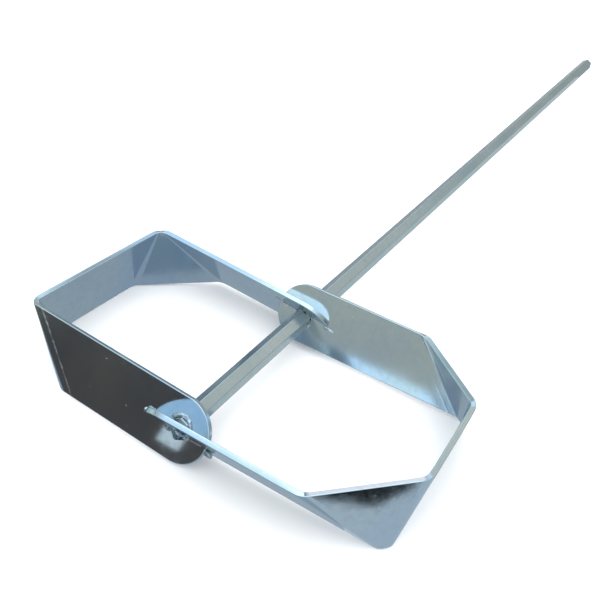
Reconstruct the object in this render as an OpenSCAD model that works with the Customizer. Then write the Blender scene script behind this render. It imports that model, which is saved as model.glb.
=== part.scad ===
// Drill-driven mortar mixing paddle: a hexagonal bar with two bent steel-strip frames welded
// round it. The bar lies along X. Its drive end is at the origin and its mixing end is at -X.
// The frames lean like the blades of a propeller, and each one is the other turned half a
// turn about the bar. Their ends are slotted and cross through one another at the two hubs.
// Z is up with the paddle lying on a bench.

/* [Bar] */
// Overall length of the hexagonal bar
bar_length = 762; // [400:1:1000]
// Width of the bar across its flats
bar_flats = 11.11; // [8:0.01:14]
// Length of the turned chamfer at the drive end
drive_chamfer = 3.2; // [1:0.1:5]
// Length of the small chamfer at the mixing end
mixing_chamfer = 0.6; // [0.2:0.1:2]
// How far the bar runs past the middle of the frames
bar_past_middle = 59.6; // [58:0.1:64]

/* [Strip] */
// Width of the steel strip
strip_width = 38.1; // [32:0.1:44]
// Thickness of the steel strip
strip_thickness = 3.2; // [2.5:0.1:4]
// Length of the cut-off edge that each soft fold takes up
fold_run = 8; // [4:0.5:10]

/* [Frame] */
// Half the length of the outer side, out to the point of its corner
side_half = 52.33; // [45:0.1:65]
// Where the first fold of a corner starts, before the point, on the cut-off edge
fold_start = 22.24; // [16:0.1:28]
// Where the second fold of a corner starts, past the point, on the cut-off edge
fold_end = 40.16; // [32:0.1:46]
// Half the gap between the two folds at the point of the corner
point_gap = 2.1; // [2:0.1:4]
// Angle of the first fold
first_fold = 56.49; // [52:0.1:62]
// Angle of the second fold
second_fold = 59.82; // [55:0.1:65]
// Length of an arm from the point of the corner to the bar
arm_length = 120.88; // [100:0.1:140]
// Distance of the bar from the cut-off edge of the strip
bar_inset = 21; // [17:0.1:22]
// How far each frame leans along the bar
frame_lean = 1.83; // [0:0.01:3]
// How far each frame sits along the bar from the common middle
frame_shift = 1.5; // [0:0.1:3]
// Turn about the bar that puts both frames flat on the bench
lying_turn = 10.98; // [8:0.01:14]

/* [Welds] */
// Radius of the weld bead round the bar
bead_radius = 1.3; // [1:0.1:2.5]
// Radius of the tack welds along the seams where the frames cross
tack_radius = 1.5; // [1:0.1:2]
// Length of each tack weld
tack_length = 6; // [3:0.5:9]
// Play round the bar and between the crossing plates, filled by the welds
joint_play = 0.15; // [0.1:0.05:0.4]

/* [Hidden] */

$fn = 48;
bar_corners = bar_flats / cos(30);
middle_x = bar_past_middle - bar_length;
arm_end = side_half + arm_length;
// How many narrow creases make a soft fold
creases_per_fold = 6;
// How many flats make the rounded end of an arm, and how far round it they go
end_steps = 10;
last_turn = 86;
// How far the bar's turned body stands clear of the corners of the hexagon
turned_clear = 0.01;

// A point turned about the line from the origin along the unit vector d
function turned(v, d, angle) =
    v * cos(angle) + cross(d, v) * sin(angle) + d * (d * v) * (1 - cos(angle));

// A soft fold is a row of narrow creases. Each crease is where it crosses the cut-off edge,
// where it crosses the pointed edge, and its angle.
function soft_fold(foot, point, angle) = [
    for (i = [0:creases_per_fold - 1])
        let (along = (i + 0.5) / creases_per_fold - 0.5)
            [foot + along * fold_run, point + along * 2 * point_gap, angle / creases_per_fold]
];
creases = concat(
    soft_fold(side_half - fold_start, side_half - point_gap, first_fold),
    soft_fold(side_half + fold_end, side_half + point_gap, second_fold)
);

// A point turned about a crease by a share of the crease's angle
function creased(p, crease, share) =
    let (foot = [crease[0], 0, 0], line = [crease[1] - crease[0], 0, strip_width])
        foot + turned(p - foot, line / norm(line), -share * crease[2]);

// Where a point of the flat strip goes once the creases before it are folded
function past(p, count) =
    count == 0 ? p : past(creased(p, creases[count - 1], 1), count - 1);
function on_folded_arm(p) = past(p, len(creases));

// The bar's place on an arm, and the arm's directions: along it, out of it and across it
hole = on_folded_arm([arm_end, 0, bar_inset]);
arm_along = on_folded_arm([arm_end + 1, 0, bar_inset]) - hole;
arm_out = on_folded_arm([arm_end, 1, bar_inset]) - hole;
arm_across = on_folded_arm([arm_end, 0, bar_inset + 1]) - hole;

// How the lean shifts the bar along the arms, where the arms' planes meet the bar, and how
// far from the bar the planes of the two frames cross
lean_reach = hole[0] * sin(frame_lean) / -arm_along[1];
hub_x = hole[0] * cos(frame_lean);
crossing_drop = frame_shift * arm_out[0] / abs(arm_out[2]);

steel = [0.72, 0.76, 0.8];
dark_steel = [0.62, 0.66, 0.7];
weld_metal = [0.5, 0.52, 0.55];

// The four corners of the strip's cross-section at a crease
function crease_section(count) =
    let (crease = creases[count], half = strip_thickness / 2 / cos(crease[2] / 2))
        [
            for (corner = [[0, -1], [0, 1], [1, 1], [1, -1]])
                past(creased([crease[corner[0]], corner[1] * half, corner[0] * strip_width],
                             crease, 0.5), count)
        ];

// The four corners of an arm's cross-section, at a turn round its rounded end
function end_section(end_x, turn) =
    let (x = end_x + strip_width / 2 * sin(turn))
        [
            for (corner = [[-1, -1], [-1, 1], [1, 1], [1, -1]])
                on_folded_arm([x, corner[1] * strip_thickness / 2,
                               strip_width / 2 * (1 + corner[0] * cos(turn))])
        ];

// The cross-sections of half a frame, from its first crease to the tip of its arm
function half_sections(end_x) = concat(
    [for (count = [0:len(creases) - 1]) crease_section(count)],
    [for (step = [0:end_steps]) end_section(end_x, last_turn * step / end_steps)]
);
function mirrored(section) = [for (p = section) [-p[0], p[1], p[2]]];

// A bent strip, placed so that the bar runs along X through both arms
module bent_strip() {
    drive_half = half_sections(arm_end - lean_reach);
    mixing_half = half_sections(arm_end + lean_reach);
    last = len(mixing_half) - 1;
    sections = concat([for (i = [last:-1:0]) mirrored(mixing_half[i])], drive_half);
    count = len(sections);
    sides = [
        for (i = [0:count - 2], k = [0:3])
            let (a = 4 * i + k, b = 4 * i + (k + 1) % 4)
                each [[a, b + 4, b], [a, a + 4, b + 4]]
    ];
    rotate([0, 0, -frame_lean])
        translate([0, -hole[1], -hole[2]])
            polyhedron(
                points = [for (section = sections) each section],
                faces = concat([[0, 1, 2, 3]], sides,
                               [[for (k = [3:-1:0]) 4 * (count - 1) + k]])
            );
}

// What sits on a left arm, with X along the arm, Y out of its outer face and the bar at 0.
// The drive side arm is side 0 and the mixing side arm is side 1.
module on_arm(side) {
    end_x = (2 * side - 1) * lean_reach;
    rotate([0, 0, -frame_lean])
        mirror([side, 0, 0])
            multmatrix([
                [arm_along[0], arm_out[0], arm_across[0], hole[0]],
                [arm_along[1], arm_out[1], arm_across[1], 0],
                [arm_along[2], arm_out[2], arm_across[2], 0],
                [0, 0, 0, 1],
            ])
                translate([end_x, 0, 0])
                    children();
}

// Endless plates in the planes of the two arms, as thick as the slots that take them
module arm_planes(thickness) {
    size = strip_width * 4;
    for (side = [0, 1])
        on_arm(side)
            cube([size, thickness, size], center = true);
}

// The bar's own hexagon along X, from one x to another, grown by the given play
module hex_along_x(from_x, to_x, play) {
    translate([from_x, 0, 0])
        rotate([0, 90, 0])
            cylinder(h = to_x - from_x, d = bar_corners + 2 * play, $fn = 6);
}

// A frame cut for the bar and slotted from its free ends for the other frame
module slotted_strip(shift) {
    difference() {
        translate([shift, 0, 0])
            bent_strip();
        hex_along_x(-arm_length, arm_length, joint_play);
        intersection() {
            translate([-shift, 0, 0])
                rotate([180, 0, 0])
                    arm_planes(strip_thickness + 2 * joint_play);
            translate([-arm_length, -strip_width, -strip_width])
                cube([2 * arm_length, strip_width, 2 * strip_width]);
        }
    }
}

// From the middle of the frames to the paddle's own frame
module lying_in_place() {
    translate([middle_x, 0, 0])
        rotate([lying_turn, 0, 0])
            children();
}

// Half a ring of weld on the left arm: above the bar, on its inner (-1) or outer (1) face
module half_ring(side, face) {
    intersection() {
        translate([frame_shift, 0, 0])
            on_arm(side)
                translate([0, face * strip_thickness / 2, 0])
                    rotate([90, 0, 0])
                        rotate_extrude()
                            translate([bar_corners / 2, 0])
                                circle(r = bead_radius, $fn = 24);
        translate([-arm_length, -strip_width, 0])
            cube([2 * arm_length, 2 * strip_width, strip_width]);
    }
}

// A ring of weld round the bar at one hub, half on each frame. At the mixing hub the halves
// face the tip, and at the drive hub they face the space between the arms.
module bar_weld(side, face) {
    lying_in_place()
        difference() {
            union() {
                half_ring(side, face);
                rotate([180, 0, 0])
                    translate([-2 * frame_shift, 0, 0])
                        half_ring(side, face);
            }
            welded_pieces();
        }
}

// A short tack along the crossing line, as far as the given reach from the bar
module tack(x, y, z) {
    translate([x, y - tack_length / 2, z])
        rotate([-90, 0, 0])
            cylinder(h = tack_length, r = tack_radius, $fn = 24);
    for (end = [-1, 1])
        translate([x, y + end * tack_length / 2, z])
            sphere(r = tack_radius, $fn = 24);
}

// The pieces that the welds lie against
module welded_pieces() {
    slotted_strip(frame_shift);
    rotate([180, 0, 0])
        slotted_strip(-frame_shift);
    hex_along_x(-bar_past_middle, arm_length, 0);
}

module hex_bar_shaft() {
    cone_rise = drive_chamfer * tan(30);
    color(steel)
        intersection() {
            hex_along_x(-bar_length, 0, 0);
            union() {
                translate([-bar_length, 0, 0])
                    rotate([0, 90, 0])
                        cylinder(h = mixing_chamfer,
                                 d1 = bar_corners - 2 * mixing_chamfer, d2 = bar_corners);
                translate([mixing_chamfer - bar_length, 0, 0])
                    rotate([0, 90, 0])
                        cylinder(h = bar_length - mixing_chamfer - drive_chamfer,
                                 d = bar_corners + 2 * turned_clear);
                translate([-drive_chamfer, 0, 0])
                    rotate([0, 90, 0])
                        cylinder(h = drive_chamfer,
                                 d1 = bar_corners, d2 = bar_corners - 2 * cone_rise);
            }
        }
}

module left_mixing_frame() {
    color(dark_steel)
        lying_in_place()
            slotted_strip(frame_shift);
}

module right_mixing_frame() {
    color(steel)
        lying_in_place()
            rotate([180, 0, 0])
                slotted_strip(-frame_shift);
}

module tip_hub_bar_weld() {
    color(weld_metal)
        bar_weld(1, 1);
}

module drive_hub_bar_weld() {
    color(weld_metal)
        bar_weld(0, -1);
}

// The tacks where the plates cross, on the side of the crossing that faces the tip
module seam_welds(crossing_x, crossing_z) {
    reach = strip_width / 2;
    color(weld_metal)
        lying_in_place()
            difference() {
                for (end = [-1, 1])
                    tack(crossing_x - strip_thickness / 2, end * reach, crossing_z);
                welded_pieces();
            }
}

module tip_hub_seam_welds() {
    seam_welds(-hub_x, -crossing_drop);
}

module drive_hub_seam_welds() {
    seam_welds(hub_x, crossing_drop);
}

hex_bar_shaft();
left_mixing_frame();
right_mixing_frame();
tip_hub_bar_weld();
tip_hub_seam_welds();
drive_hub_bar_weld();
drive_hub_seam_welds();
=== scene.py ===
import math

import bmesh
import bpy
from mathutils import Matrix, Vector


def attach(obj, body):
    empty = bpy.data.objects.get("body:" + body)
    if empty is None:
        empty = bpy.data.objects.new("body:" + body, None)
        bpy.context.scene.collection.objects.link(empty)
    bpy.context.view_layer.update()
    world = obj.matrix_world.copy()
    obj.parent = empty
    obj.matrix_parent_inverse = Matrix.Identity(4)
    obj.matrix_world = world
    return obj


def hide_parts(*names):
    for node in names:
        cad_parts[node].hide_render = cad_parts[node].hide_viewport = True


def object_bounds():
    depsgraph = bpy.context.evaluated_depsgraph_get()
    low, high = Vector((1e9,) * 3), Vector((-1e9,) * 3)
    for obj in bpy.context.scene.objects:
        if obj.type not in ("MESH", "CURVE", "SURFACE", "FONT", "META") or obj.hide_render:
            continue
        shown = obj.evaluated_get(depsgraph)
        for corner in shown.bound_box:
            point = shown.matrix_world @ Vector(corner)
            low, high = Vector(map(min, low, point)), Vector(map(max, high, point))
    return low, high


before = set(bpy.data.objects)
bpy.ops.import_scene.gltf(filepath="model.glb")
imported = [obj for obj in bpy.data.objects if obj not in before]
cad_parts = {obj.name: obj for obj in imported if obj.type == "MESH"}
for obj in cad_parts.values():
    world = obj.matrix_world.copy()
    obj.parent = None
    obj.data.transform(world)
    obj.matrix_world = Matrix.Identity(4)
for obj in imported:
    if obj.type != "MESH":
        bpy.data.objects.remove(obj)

cad_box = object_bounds()

MM = 0.001

# ---------------------------------------------------------------- driving sizes, in millimetres
# The bar, which runs past the middle of the frames
BAR_LENGTH = 762
BAR_FLATS = 11.11
BAR_CORNER_RADIUS = 0.7
BAR_PAST_MIDDLE = 59.6
DRIVE_CHAMFER = 3.2
MIXING_CHAMFER = 0.6

# Where the drive chamfer meets the end face its edge is broken: over this length, from this
# share of the chamfer's rise
DRIVE_EDGE_LENGTH = 0.4
DRIVE_EDGE_SHARE = 0.86

# The strip
STRIP_WIDTH = 38.1
STRIP_THICKNESS = 3.2
STRIP_EDGE_RADIUS = 0.5

# Half a frame's outer side, out to the point of its corner: a little less than in the CAD, so
# that the finer folds here stay inside its box
SIDE_HALF = 52.1

# The two folds of a corner. They nearly meet at its point, on the strip's pointed edge, and cut
# the corner off on the other edge, where one lies before the point and one past it.
FOLD_START = 22.24
FOLD_END = 40.16
FOLD_RUN = 8
POINT_GAP = 2.1
FIRST_FOLD = math.radians(56.49)
SECOND_FOLD = math.radians(59.82)

# An arm goes from the point of the corner to the bar, which is inset from the cut-off edge
ARM_LENGTH = 120.88
BAR_INSET = 21
JOINT_PLAY = 0.15
HOLE_CORNER_RADIUS = 0.3

# How far each frame leans along the bar and sits along it from the common middle, and the turn
# about the bar that puts both frames flat on the floor
FRAME_LEAN = math.radians(1.83)
FRAME_SHIFT = 1.5
LYING_TURN = math.radians(10.98)

# The curve that bending leaves in the flat beside a fold
SHOULDER_RUN = 11
SHOULDER_ANGLE = math.radians(2)

# The bending tool's mark, a ragged ridge with a painted highlight along it: how far it lies past a
# fold, how high it stands, and the strength of a faint one, where a clear one has 1
MARK_DISTANCE = 4.5
MARK_HEIGHT = 0.16
FAINT_MARK_AND_HIGHLIGHT = 0.08

# How finely round things are drawn
CREASES_PER_FOLD = 16
SHOULDER_CREASES = 8
END_STEPS = 28
CORNER_STEPS = 4
CORNER_POINTS = CORNER_STEPS + 1
HEXAGON_STEPS = 3

# How far the cutters for the slots reach, well past the strip's ends and its edges
CUTTER_LENGTH = 1.5 * STRIP_WIDTH
CUTTER_HEIGHT = 4 * STRIP_WIDTH

# How widely sharp edges are rounded off
STRIP_SOFTNESS = 0.25
BAR_SOFTNESS = 0.15

# The lumps in the weld beads. The level is the shade of the lumps' texture that moves nothing.
WELD_VOXEL = 0.25
LUMP_SIZE = 2.2
LUMP_HEIGHT = 0.6
LUMP_LEVEL = 0.42

# Mesh points closer than this, in metres, are one
SAME_POINT = 1e-7

MIDDLE_X = BAR_PAST_MIDDLE - BAR_LENGTH
ARM_END = SIDE_HALF + ARM_LENGTH


# ---------------------------------------------------------------- the folded strip
def soft_fold(foot, point, angle):
    """A row of narrow creases: where each crosses the cut-off and pointed edges, and its angle."""
    creases = []
    for i in range(CREASES_PER_FOLD):
        along = (i + 0.5) / CREASES_PER_FOLD - 0.5
        crease = (foot + along * FOLD_RUN, point + along * 2 * POINT_GAP, angle / CREASES_PER_FOLD)
        creases.append(crease)
    return creases


def shoulder(foot, point, outward):
    """The slight curve that bending leaves in the flat beside a fold, going outward (1 or -1)."""
    foot += outward * FOLD_RUN / 2
    point += outward * POINT_GAP
    creases = []
    for i in range(SHOULDER_CREASES):
        along = outward * (i + 0.5) * SHOULDER_RUN / SHOULDER_CREASES
        creases.append((foot + along, point + along, SHOULDER_ANGLE / SHOULDER_CREASES))
    return creases[::outward]


FIRST_LINE = (SIDE_HALF - FOLD_START, SIDE_HALF - POINT_GAP)
SECOND_LINE = (SIDE_HALF + FOLD_END, SIDE_HALF + POINT_GAP)
CREASES = shoulder(*FIRST_LINE, -1)
CREASES += soft_fold(*FIRST_LINE, FIRST_FOLD - SHOULDER_ANGLE)
CREASES += soft_fold(*SECOND_LINE, SECOND_FOLD - SHOULDER_ANGLE)
CREASES += shoulder(*SECOND_LINE, 1)


def crease_turn(crease, share):
    """The turn about a crease by a share of its angle."""
    foot = Vector((crease[0], 0, 0))
    line = Vector((crease[1] - crease[0], 0, STRIP_WIDTH))
    turn = Matrix.Rotation(-share * crease[2], 4, line)
    return Matrix.Translation(foot) @ turn @ Matrix.Translation(-foot)


FOLDED = [Matrix.Identity(4)]
for crease in CREASES:
    FOLDED.append(FOLDED[-1] @ crease_turn(crease, 1))

HOLE = FOLDED[-1] @ Vector((ARM_END, 0, BAR_INSET))
ARM_ALONG = FOLDED[-1].to_3x3() @ Vector((1, 0, 0))
LEAN_REACH = HOLE.x * math.sin(FRAME_LEAN) / -ARM_ALONG.y

# A rounded corner of the strip in section: how far each point is from the face and the edge
CORNER = [
    (
        STRIP_EDGE_RADIUS * (1 - math.cos(math.pi / 2 * i / CORNER_STEPS)),
        STRIP_EDGE_RADIUS * (1 - math.sin(math.pi / 2 * i / CORNER_STEPS)),
    )
    for i in range(CORNER_POINTS)
]


def section_places():
    """The strip's section, as (side -1 or 1, distance in from that edge, height out of the middle)."""
    half = STRIP_THICKNESS / 2
    high = [(1, edge, half - face) for face, edge in CORNER]
    low = [(1, edge, -(half - face)) for face, edge in reversed(CORNER)]
    loop = high + low
    loop += [(-1, edge, height) for _, edge, height in reversed(loop)]
    return loop


def crease_loop(i):
    """The strip's section at a crease, on the plane that halves the crease's angle."""
    crease = CREASES[i]
    place = FOLDED[i] @ crease_turn(crease, 0.5)
    points = []
    for side, edge, height in section_places():
        across = edge if side < 0 else STRIP_WIDTH - edge
        x = crease[0] + (crease[1] - crease[0]) * across / STRIP_WIDTH
        points.append(place @ Vector((x, height, across)))
    return points


def end_loop(end_x, turn):
    """The strip's section at a turn round the rounded end of an arm."""
    points = []
    for side, edge, height in section_places():
        radius = STRIP_WIDTH / 2 - edge
        x = end_x + radius * math.sin(turn)
        across = STRIP_WIDTH / 2 + side * radius * math.cos(turn)
        points.append(FOLDED[-1] @ Vector((x, height, across)))
    return points


def half_loops(end_x):
    """The sections of half a frame, from its first crease to the tip of its arm."""
    loops = [crease_loop(i) for i in range(len(CREASES))]
    loops += [end_loop(end_x, math.pi / 2 * i / END_STEPS) for i in range(END_STEPS + 1)]
    return loops


def half_marks_and_highlights(strength):
    """How strongly each loop carries the bending tool's ridge and its painted highlight: only where
    the tool's edge lay beside the fold.
    """
    marked_foot = SECOND_LINE[0] + FOLD_RUN / 2 + MARK_DISTANCE
    distances = [abs(crease[0] - marked_foot) for crease in CREASES]
    marks = [0.0] * (len(CREASES) + END_STEPS + 1)
    marks[distances.index(min(distances))] = strength
    return marks


def on_arm(side):
    """The place of the left frame's drive arm (side 0) or mixing arm (side 1).

    X runs along the arm, Y out of its outer face and Z across it, and the bar is at 0.
    """
    arm = FOLDED[-1].copy()
    arm.translation = (HOLE.x, 0, 0)
    mirror = Matrix.Scale(-1 if side else 1, 4, (1, 0, 0))
    reach = Matrix.Translation(((2 * side - 1) * LEAN_REACH, 0, 0))
    return Matrix.Rotation(-FRAME_LEAN, 4, "Z") @ mirror @ arm @ reach


METRES = Matrix.Scale(MM, 4)
LYING = METRES @ Matrix.Translation((MIDDLE_X, 0, 0)) @ Matrix.Rotation(LYING_TURN, 4, "X")
HALF_TURN = Matrix.Rotation(math.pi, 4, "X")
LEFT = Matrix.Translation((FRAME_SHIFT, 0, 0))
RIGHT = HALF_TURN @ Matrix.Translation((-FRAME_SHIFT, 0, 0))


# ---------------------------------------------------------------- mesh helpers
def new_object(name, mesh):
    """An object with the given mesh, in the scene."""
    obj = bpy.data.objects.new(name, mesh)
    bpy.context.scene.collection.objects.link(obj)
    return obj


def lofted(name, loops, rim_faces=(), marks=None):
    """A closed mesh through loops of equal length.

    rim_faces are the segments of a loop that take material slot 1, and marks says how strongly
    each loop carries the bending tool's ridge and its painted highlight.
    """
    bm = bmesh.new()
    layer = bm.verts.layers.float.new("bend_mark_and_highlight")
    rings = [[bm.verts.new(p) for p in loop] for loop in loops]
    for ring, mark in zip(rings, marks or [0.0] * len(rings)):
        for vert in ring:
            vert[layer] = mark
    size = len(loops[0])
    for one, two in zip(rings, rings[1:]):
        for k in range(size):
            face = bm.faces.new((one[k], one[(k + 1) % size], two[(k + 1) % size], two[k]))
            face.material_index = int(k in rim_faces)
    bm.faces.new(reversed(rings[0]))
    bm.faces.new(rings[-1])
    bmesh.ops.remove_doubles(bm, verts=bm.verts, dist=SAME_POINT)
    bmesh.ops.dissolve_degenerate(bm, dist=SAME_POINT, edges=bm.edges)
    bmesh.ops.recalc_face_normals(bm, faces=bm.faces)
    mesh = bpy.data.meshes.new(name)
    bm.to_mesh(mesh)
    bm.free()
    return mesh


def two_slots(mesh):
    """Empty material slots for the strip's faces (0) and its cut edges (1)."""
    for _ in range(2):
        mesh.materials.append(None)


def cutter(size, place, low):
    """A box of the given size in millimetres, from its low corner, all of it in slot 1."""
    bm = bmesh.new()
    bmesh.ops.create_cube(bm, size=1)
    shift = Matrix.Translation(Vector(low) + Vector(size) / 2)
    bm.transform(place @ shift @ Matrix.Diagonal((*size, 1)))
    if place.determinant() < 0:
        bmesh.ops.reverse_faces(bm, faces=bm.faces)
    mesh = bpy.data.meshes.new("cutter")
    bm.to_mesh(mesh)
    bm.free()
    two_slots(mesh)
    for face in mesh.polygons:
        face.material_index = 1
    return new_object("cutter", mesh)


def hexagon(across_flats, corner_radius, x, inset=0.0):
    """The bar's section at x, with rounded corners, flats facing Y."""
    points = []
    flats = across_flats - 2 * inset
    centre = (flats / 2 - corner_radius) / math.cos(math.pi / 6)
    for corner in range(6):
        middle = math.pi / 3 * corner + math.pi / 2
        for i in range(HEXAGON_STEPS + 1):
            angle = middle + math.pi / 3 * (i / HEXAGON_STEPS - 0.5)
            y = centre * math.cos(middle) + corner_radius * math.cos(angle)
            z = centre * math.sin(middle) + corner_radius * math.sin(angle)
            points.append(Vector((x, y, z)))
    return points


def cut_away(obj, tools):
    """Cuts the tools out of obj for good, and removes them."""
    for tool in tools:
        cut = obj.modifiers.new("cut", "BOOLEAN")
        cut.operation = "DIFFERENCE"
        cut.solver = "EXACT"
        cut.object = tool
    depsgraph = bpy.context.evaluated_depsgraph_get()
    mesh = bpy.data.meshes.new_from_object(obj.evaluated_get(depsgraph))
    obj.modifiers.clear()
    obj.data = mesh
    for tool in tools:
        bpy.data.objects.remove(tool)


def softened(obj, width, angle=30):
    """Rounds the sharp edges that cutting left, and shades the rest smooth."""
    for face in obj.data.polygons:
        face.use_smooth = True
    bevel = obj.modifiers.new("soft edges", "BEVEL")
    bevel.width = width * MM
    bevel.segments = 2
    bevel.limit_method = "ANGLE"
    bevel.angle_limit = math.radians(angle)
    bevel.harden_normals = True
    bevel.material = -1
    normals = obj.modifiers.new("flat faces", "WEIGHTED_NORMAL")
    normals.keep_sharp = True
    normals.weight = 100


# ---------------------------------------------------------------- the pieces
def slot_cutters(other):
    """Two plates that lie where the other frame's arms come in to the bar, with a little play."""
    slot = STRIP_THICKNESS + 2 * JOINT_PLAY
    size = (CUTTER_LENGTH, slot, CUTTER_HEIGHT)
    low = (-CUTTER_LENGTH, -slot / 2, -CUTTER_HEIGHT / 2)
    return [cutter(size, LYING @ other @ on_arm(side), low) for side in (0, 1)]


def hole_cutter():
    """The bar's hexagon with a little play, through both arms of a frame."""
    sections = []
    for x in (-ARM_LENGTH, ARM_LENGTH):
        section = hexagon(BAR_FLATS + 2 * JOINT_PLAY, HOLE_CORNER_RADIUS, x)
        sections.append([LYING @ p for p in section])
    mesh = lofted("hole", sections, range(len(sections[0])))
    two_slots(mesh)
    return new_object("hole", mesh)


def make_frame(name, place, other, cad_node, mixing_mark_and_highlight):
    """A folded strip, slotted for the other frame and cut for the bar."""
    drive_half = half_loops(ARM_END - LEAN_REACH)
    mixing_half = half_loops(ARM_END + LEAN_REACH)
    mirrored = [[Vector((-p.x, p.y, p.z)) for p in loop] for loop in reversed(mixing_half)]
    to_bar = Matrix.Rotation(-FRAME_LEAN, 4, "Z") @ Matrix.Translation((0, -HOLE.y, -HOLE.z))
    whole = LYING @ place @ to_bar
    loops = [[whole @ p for p in loop] for loop in mirrored + drive_half]
    # A section has four corners, and its long sides come after the second and the fourth
    flat_faces = {2 * CORNER_POINTS - 1, 4 * CORNER_POINTS - 1}
    rim = set(range(4 * CORNER_POINTS)) - flat_faces
    marks = list(reversed(half_marks_and_highlights(mixing_mark_and_highlight))) + half_marks_and_highlights(FAINT_MARK_AND_HIGHLIGHT)
    obj = new_object(name, lofted(name, loops, rim, marks))
    two_slots(obj.data)
    cut_away(obj, slot_cutters(other) + [hole_cutter()])
    softened(obj, STRIP_SOFTNESS)
    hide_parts(cad_node)
    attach(obj, "root")
    return obj


def make_bar():
    """The hexagonal bar, with a chamfer at each end."""
    rise = DRIVE_CHAMFER * math.tan(math.pi / 6)
    ends = [
        (-BAR_LENGTH, MIXING_CHAMFER),
        (MIXING_CHAMFER - BAR_LENGTH, 0),
        (-DRIVE_CHAMFER, 0),
        (-DRIVE_EDGE_LENGTH, rise * DRIVE_EDGE_SHARE),
        (0, rise),
    ]
    loops = []
    for x, inset in ends:
        section = hexagon(BAR_FLATS, BAR_CORNER_RADIUS, x, inset)
        loops.append([METRES @ p for p in section])
    obj = new_object("plated_hex_bar", lofted("plated_hex_bar", loops))
    softened(obj, BAR_SOFTNESS, 35)
    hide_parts("hex_bar_shaft")
    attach(obj, "root")
    return obj


# ---------------------------------------------------------------- materials
class Nodes:
    """A material's node tree, with short ways to add and join nodes."""

    def __init__(self, name):
        self.material = bpy.data.materials.new(name)
        self.material.use_nodes = True
        self.tree = self.material.node_tree
        self.shader = self.tree.nodes["Principled BSDF"]
        self.place = self.add("ShaderNodeTexCoord").outputs["Object"]

    def add(self, kind, **values):
        """A new node with the given settings."""
        node = self.tree.nodes.new(kind)
        for key, value in values.items():
            setattr(node, key, value)
        return node

    def join(self, source, target):
        self.tree.links.new(source, target)

    def noise(self, scale, detail=4, roughness=0.55, stretch=None):
        """Noise of so many features a metre, stretched along one axis or more if asked."""
        node = self.add("ShaderNodeTexNoise")
        node.inputs["Scale"].default_value = scale
        node.inputs["Detail"].default_value = detail
        node.inputs["Roughness"].default_value = roughness
        place = self.place
        if stretch:
            mapping = self.add("ShaderNodeMapping")
            mapping.inputs["Scale"].default_value = stretch
            self.join(place, mapping.inputs["Vector"])
            place = mapping.outputs["Vector"]
        self.join(place, node.inputs["Vector"])
        return node.outputs["Fac"]

    def ramp(self, value, low, high, start=0.3, end=0.7):
        """A colour that goes from low to high as value goes from start to end."""
        node = self.add("ShaderNodeValToRGB")
        node.color_ramp.elements[0].position = start
        node.color_ramp.elements[0].color = (*low, 1)
        node.color_ramp.elements[1].position = end
        node.color_ramp.elements[1].color = (*high, 1)
        self.join(value, node.inputs["Fac"])
        return node.outputs["Color"]

    def spread(self, value, low, high, start=0.3, end=0.7):
        """A number that goes from low to high as value goes from start to end."""
        node = self.add("ShaderNodeMapRange")
        node.inputs["From Min"].default_value = start
        node.inputs["From Max"].default_value = end
        node.inputs["To Min"].default_value = low
        node.inputs["To Max"].default_value = high
        self.join(value, node.inputs["Value"])
        return node.outputs["Result"]

    def mixed(self, factor, tint, colour):
        """The tint, going over to a plain colour as factor goes from 0 to 1."""
        node = self.add("ShaderNodeMix", data_type="RGBA")
        # Inputs 6 and 7 and output 2 are the node's colour sockets
        self.join(factor, node.inputs[0])
        self.join(tint, node.inputs[6])
        node.inputs[7].default_value = (*colour, 1)
        return node.outputs[2]

    def sum(self, one, two, share=1.0):
        """The first value and a share of the second."""
        node = self.add("ShaderNodeMath", operation="MULTIPLY_ADD")
        self.join(two, node.inputs[0])
        node.inputs[1].default_value = share
        self.join(one, node.inputs[2])
        return node.outputs[0]

    def product(self, one, two):
        """The two values multiplied."""
        node = self.add("ShaderNodeMath", operation="MULTIPLY")
        self.join(one, node.inputs[0])
        self.join(two, node.inputs[1])
        return node.outputs[0]

    def edges(self, radius):
        """A number that goes from 1 at a sharp edge to 0 at the radius from it."""
        bevel = self.add("ShaderNodeBevel", samples=6)
        bevel.inputs["Radius"].default_value = radius * MM
        normal = self.add("ShaderNodeNewGeometry").outputs["Normal"]
        dot = self.add("ShaderNodeVectorMath", operation="DOT_PRODUCT")
        self.join(bevel.outputs["Normal"], dot.inputs[0])
        self.join(normal, dot.inputs[1])
        return self.spread(dot.outputs["Value"], 1.0, 0.0, 0.86, 0.995)

    def bump(self, height, distance):
        """Gives the surface relief as high as the distance, in millimetres, where height is 1."""
        node = self.add("ShaderNodeBump")
        node.inputs["Strength"].default_value = 1.0
        node.inputs["Distance"].default_value = distance * MM
        self.join(height, node.inputs["Height"])
        self.join(node.outputs["Normal"], self.shader.inputs["Normal"])


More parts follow.
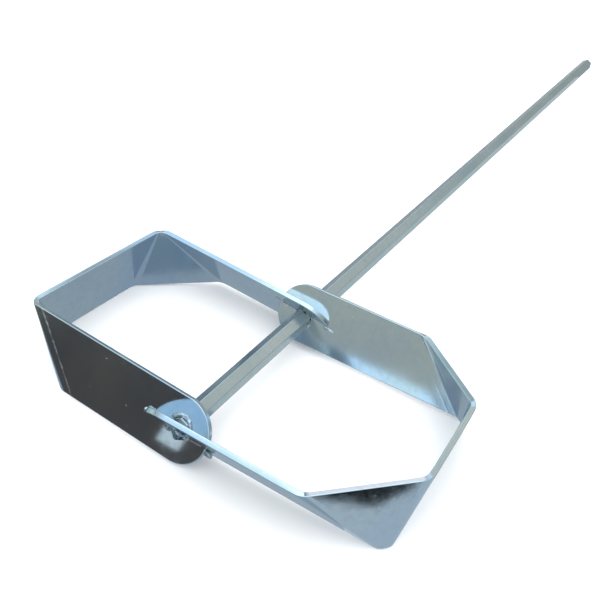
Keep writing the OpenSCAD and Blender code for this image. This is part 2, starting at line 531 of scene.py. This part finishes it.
def plated_steel(name, blue, green, worn, rough, grain_stretch, bump_height):
    """Zinc-plated steel: a clouded tint, fine grain, specks of dust, brighter worn edges, and the
    ragged mark of the bending tool, a ridge with a painted highlight along it."""
    nodes = Nodes(name)
    clouds = nodes.noise(14, detail=3)
    mottle = nodes.noise(230, detail=5, roughness=0.65)
    grain = nodes.noise(900, detail=3, stretch=grain_stretch)
    tint = nodes.ramp(clouds, blue, green, 0.38, 0.66)
    darker = tuple(0.82 * c for c in blue)
    tint = nodes.mixed(nodes.spread(mottle, 0.0, 0.35, 0.45, 0.75), tint, darker)
    tint = nodes.mixed(nodes.edges(0.9), tint, worn)
    # Painted highlight along the bending tool's ridge: its ragged line is lightened to the worn
    # colour, and it is also raised in the bump
    mark = nodes.add("ShaderNodeAttribute", attribute_name="bend_mark_and_highlight").outputs["Fac"]
    breaks = nodes.noise(300, detail=5, roughness=0.7)
    ragged = nodes.product(mark, nodes.spread(breaks, 0.1, 1.0, 0.36, 0.66))
    tint = nodes.mixed(ragged, tint, worn)
    specks = nodes.spread(nodes.noise(330, detail=1), 0.0, 0.22, 0.76, 0.82)
    tint = nodes.mixed(specks, tint, worn)
    nodes.join(tint, nodes.shader.inputs["Base Color"])
    nodes.join(nodes.spread(specks, 1.0, 0.0, 0.0, 1.0), nodes.shader.inputs["Metallic"])
    uneven = nodes.sum(nodes.spread(clouds, rough[0], rough[1]), nodes.spread(mottle, -0.03, 0.05))
    nodes.join(uneven, nodes.shader.inputs["Roughness"])
    texture = nodes.sum(grain, mottle, 0.8)
    nodes.bump(nodes.sum(texture, ragged, MARK_HEIGHT / bump_height), bump_height)
    return nodes.material


def weld_metal():
    """Plated weld beads: lumpy, with a painted highlight on the lumps' tops and painted shade in their
    hollows.
    """
    nodes = Nodes("plated_weld_metal")
    lumps = nodes.noise(420, detail=4)
    pits = nodes.noise(1500, detail=2)
    # Painted highlight and shade: the colour follows the lumps' height, light on their tops and dark
    # in their hollows
    tint = nodes.ramp(lumps, (0.30, 0.35, 0.38), (0.76, 0.80, 0.83), 0.38, 0.64)
    tint = nodes.mixed(nodes.edges(0.6), tint, (0.86, 0.88, 0.90))
    nodes.join(tint, nodes.shader.inputs["Base Color"])
    nodes.shader.inputs["Metallic"].default_value = 1.0
    nodes.join(nodes.spread(pits, 0.22, 0.48), nodes.shader.inputs["Roughness"])
    nodes.bump(nodes.sum(lumps, pits, 0.3), 1.0)
    return nodes.material


def floor_material():
    """A plain pale matt floor."""
    nodes = Nodes("pale_floor")
    cloud = nodes.noise(3, detail=3)
    tint = nodes.ramp(cloud, (0.9, 0.9, 0.9), (0.92, 0.92, 0.92))
    nodes.join(tint, nodes.shader.inputs["Base Color"])
    nodes.shader.inputs["Roughness"].default_value = 0.9
    nodes.shader.inputs["Specular IOR Level"].default_value = 0.0
    return nodes.material


strip_face = plated_steel(
    "blue_zinc_plated_strip", (0.57, 0.66, 0.74), (0.67, 0.73, 0.73), (0.80, 0.84, 0.87),
    (0.09, 0.16), (0.15, 1, 1), 0.008,
)
strip_edge = plated_steel(
    "sheared_plated_edge", (0.72, 0.70, 0.71), (0.82, 0.79, 0.79), (0.92, 0.89, 0.88),
    (0.25, 0.38), (1, 1, 1), 0.04,
)
bar_steel = plated_steel(
    "zinc_plated_drawn_bar", (0.52, 0.58, 0.59), (0.60, 0.64, 0.64), (0.80, 0.84, 0.87),
    (0.16, 0.26), (0.02, 1, 1), 0.02,
)
weld = weld_metal()

left = make_frame("plated_left_frame", LEFT, RIGHT, "left_mixing_frame", 1.0)
right = make_frame("plated_right_frame", RIGHT, LEFT, "right_mixing_frame", FAINT_MARK_AND_HIGHLIGHT)
for strip in (left, right):
    strip.data.materials.clear()
    strip.data.materials.append(strip_face)
    strip.data.materials.append(strip_edge)
bar = make_bar()
bar.data.materials.append(bar_steel)


def roughened(obj, texture):
    """Joins a weld's beads in one skin and gives it lumps."""
    join = obj.modifiers.new("one skin", "REMESH")
    join.mode = "VOXEL"
    join.voxel_size = WELD_VOXEL * MM
    join.use_smooth_shade = True
    lumps = obj.modifiers.new("lumps", "DISPLACE")
    lumps.texture = texture
    lumps.texture_coords = "LOCAL"
    lumps.strength = LUMP_HEIGHT * MM
    lumps.mid_level = LUMP_LEVEL


lump_texture = bpy.data.textures.new("weld lumps", "CLOUDS")
lump_texture.noise_scale = LUMP_SIZE * MM
for node_name, node_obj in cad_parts.items():
    if node_name.endswith(("bar_weld", "seam_welds")):
        roughened(node_obj, lump_texture)
        for material_slot in node_obj.material_slots:
            material_slot.material = weld

# ---------------------------------------------------------------- floor, light and camera
FLOOR_Z = cad_box[0][2]
FLOOR_HALF = 6.0
CARD_GAP = 0.0005


def rectangle(low_x, low_y, high_x, high_y):
    """A rectangle's corners, as (x, y) points."""
    return [(low_x, low_y), (high_x, low_y), (high_x, high_y), (low_x, high_y)]


def sheet(name, outline, height):
    """A level face with its outline as (x, y) points, in a mesh of its own."""
    mesh = bpy.data.meshes.new(name)
    mesh.from_pydata([(x, y, height) for x, y in outline], [], [range(len(outline))])
    return mesh


floor_outline = rectangle(-FLOOR_HALF, -FLOOR_HALF, FLOOR_HALF, FLOOR_HALF)
floor = new_object("floor", sheet("floor", floor_outline, FLOOR_Z))
floor.data.materials.append(floor_material())


def seen_in_reflections(obj):
    """Hides a stage object from everything but reflections, like a card beside a camera."""
    obj.visible_camera = False
    obj.visible_diffuse = False
    obj.visible_shadow = False
    obj.visible_transmission = False


def glow(name, colour=None):
    """An emission material, its node tree, and its emission node."""
    material = bpy.data.materials.new(name)
    material.use_nodes = True
    tree = material.node_tree
    tree.nodes.clear()
    emission = tree.nodes.new("ShaderNodeEmission")
    if colour:
        emission.inputs["Color"].default_value = (*colour, 1)
    output = tree.nodes.new("ShaderNodeOutputMaterial")
    tree.links.new(emission.outputs[0], output.inputs["Surface"])
    return material, tree, emission


def card(name, colour, size, centre, facing):
    """A plain glowing card of the given size, facing a point."""
    bm = bmesh.new()
    bmesh.ops.create_grid(bm, x_segments=1, y_segments=1, size=0.5)
    direction = (Vector(facing) - Vector(centre)).normalized()
    turn = direction.to_track_quat("Z", "Y").to_matrix().to_4x4()
    bm.transform(Matrix.Translation(centre) @ turn @ Matrix.Diagonal((size[0], size[1], 1, 1)))
    mesh = bpy.data.meshes.new(name)
    bm.to_mesh(mesh)
    bm.free()
    mesh.materials.append(glow(name, colour)[0])
    seen_in_reflections(new_object(name, mesh))


def floor_card(name, colour, layer, outline):
    """A glowing card that lies just above the floor. A higher layer lies over a lower one."""
    mesh = sheet(name, outline, FLOOR_Z + CARD_GAP * (1 + layer))
    mesh.materials.append(glow(name, colour)[0])
    seen_in_reflections(new_object(name, mesh))


def studio_dome(radius, bands):
    """A dome that reflections see, whose glow goes through bands of (elevation, colour)."""
    bm = bmesh.new()
    bmesh.ops.create_uvsphere(bm, u_segments=48, v_segments=24, radius=radius)
    mesh = bpy.data.meshes.new("studio_dome")
    bm.to_mesh(mesh)
    bm.free()
    material, tree, emission = glow("studio_dome")
    place = tree.nodes.new("ShaderNodeTexCoord")
    split = tree.nodes.new("ShaderNodeSeparateXYZ")
    tree.links.new(place.outputs["Object"], split.inputs[0])
    height = tree.nodes.new("ShaderNodeMath")
    height.operation = "DIVIDE"
    height.inputs[1].default_value = radius
    tree.links.new(split.outputs["Z"], height.inputs[0])
    ramp = tree.nodes.new("ShaderNodeValToRGB")
    tree.links.new(height.outputs[0], ramp.inputs["Fac"])
    tree.links.new(ramp.outputs["Color"], emission.inputs["Color"])
    elements = ramp.color_ramp.elements
    while len(elements) < len(bands):
        elements.new(0.5)
    for element, (elevation, colour) in zip(elements, bands):
        element.position = math.sin(math.radians(elevation))
        element.color = (*colour, 1)
    mesh.materials.append(material)
    dome = new_object("studio_dome", mesh)
    dome.location = MIDDLE
    seen_in_reflections(dome)


# About the middle of the frames, on the bar's axis
MIDDLE = (-0.7, 0, 0)

# Grey-green near the horizon and light blue overhead
DOME_BANDS = [
    (0, (0.40, 0.45, 0.47)),
    (10, (0.42, 0.46, 0.44)),
    (22, (0.44, 0.50, 0.50)),
    (36, (0.58, 0.72, 0.80)),
    (50, (0.76, 1.04, 1.28)),
    (90, (0.95, 1.25, 1.45)),
]
studio_dome(4.0, DOME_BANDS)

# Each card lies or stands where the part reflects it to the camera. The first is seen in the
# sides of the frames and of the bar.
floor_card("floor_reflection", (0.34, 0.42, 0.50), 0, rectangle(-2, -1.5, 1, 1.5))

# Seen in the bar's lower side and the right frame's drive arm
floor_card("pale_beside_bar", (0.58, 0.68, 0.72), 1, rectangle(-0.73, -0.06, 0, -0.006))

# Seen in the outside of the left frame's mixing arm, which they make nearly black
floor_card("dark_floor", (0.085, 0.08, 0.08), 1, rectangle(-1.2, 0.015, -0.78, 0.415))
card("dark_horizon", (0.075, 0.07, 0.07), (0.34, 0.12), (-1.135, 0.285, 0.02), (-0.775, 0.015, 0.02))

# Seen as a pale patch on the tip hub
card(
    "hub_glint", (0.70, 0.80, 0.84), (0.0150, 0.0105),
    (-0.812, 0.0278, -0.0060), (-0.7667, 0.0035, -0.0050),
)

# Seen in the right frame's near corner, the second as a dark streak along its upper edge
floor_card("pale_foreground", (0.50, 0.59, 0.66), 1, rectangle(-0.86, -0.30, -0.70, -0.10))
floor_card(
    "dark_streak", (0.0, 0.0, 0.0), 2,
    [(-0.787, -0.163), (-0.826, -0.154), (-0.91, -0.20), (-0.83, -0.29), (-0.784, -0.204)],
)

# Seen in the sheared edges that face up, and the last in the top of the bar too
card("grey_high", (0.34, 0.43, 0.45), (0.34, 0.34), (0.061, 0.547, 1.232), (-0.71, 0.12, 0.018))
card("white_low", (1.15, 1.12, 1.18), (0.45, 0.45), (0.43, 0.58, 0.65), (-0.75, -0.10, 0.018))
card("grey_overhead", (0.62, 0.67, 0.66), (0.95, 0.95), (0.23, -0.47, 1.08), MIDDLE)

# Seen low down in the left frame's outer side, and as glints on the welds
floor_card("pale_floor", (0.60, 0.80, 0.74), 1, rectangle(-0.775, 0.15, -0.60, 0.5))
card("pale_horizon", (0.62, 0.82, 0.78), (0.45, 0.30), (-0.93, 0.75, 0.10), (-0.76, 0.10, 0.0))

world = bpy.data.worlds.new("studio")
world.use_nodes = True
background = world.node_tree.nodes["Background"]
background.inputs["Color"].default_value = (0.97, 0.985, 1.0, 1)
background.inputs["Strength"].default_value = 1.75
bpy.context.scene.world = world


def softbox(name, power, size, centre, target):
    """A rectangular light facing a target, that the camera does not see."""
    data = bpy.data.lights.new(name, "AREA")
    data.energy = power
    data.shape = "RECTANGLE"
    data.size, data.size_y = size
    obj = bpy.data.objects.new(name, data)
    bpy.context.scene.collection.objects.link(obj)
    direction = Vector(target) - Vector(centre)
    turn = direction.to_track_quat("-Z", "Y").to_matrix().to_4x4()
    obj.matrix_world = Matrix.Translation(centre) @ turn
    obj.visible_camera = False


softbox("overhead_softbox", 4, (1.7, 1.5), (-0.55, 0.0, 1.5), (-0.55, 0, 0))

bpy.context.scene.view_settings.view_transform = "Standard"

# The camera stands near the mixing end and looks along the bar. Its turn is a rotation vector.
CAMERA_PLACE = Vector((-0.96005, -0.18928, 0.29651))
CAMERA_TURN = Vector((0.76028, -0.5351, -0.9123))

camera_data = bpy.data.cameras.new("camera")
camera_data.sensor_width = 36
camera_data.lens = 43.78
camera_data.shift_x = -0.075
camera_data.shift_y = 0.0333
camera_data.clip_start = 0.01
camera = bpy.data.objects.new("camera", camera_data)
bpy.context.scene.collection.objects.link(camera)
camera_rotation = Matrix.Rotation(CAMERA_TURN.length, 4, CAMERA_TURN)
camera.matrix_world = Matrix.Translation(CAMERA_PLACE) @ camera_rotation
bpy.context.scene.camera = camera
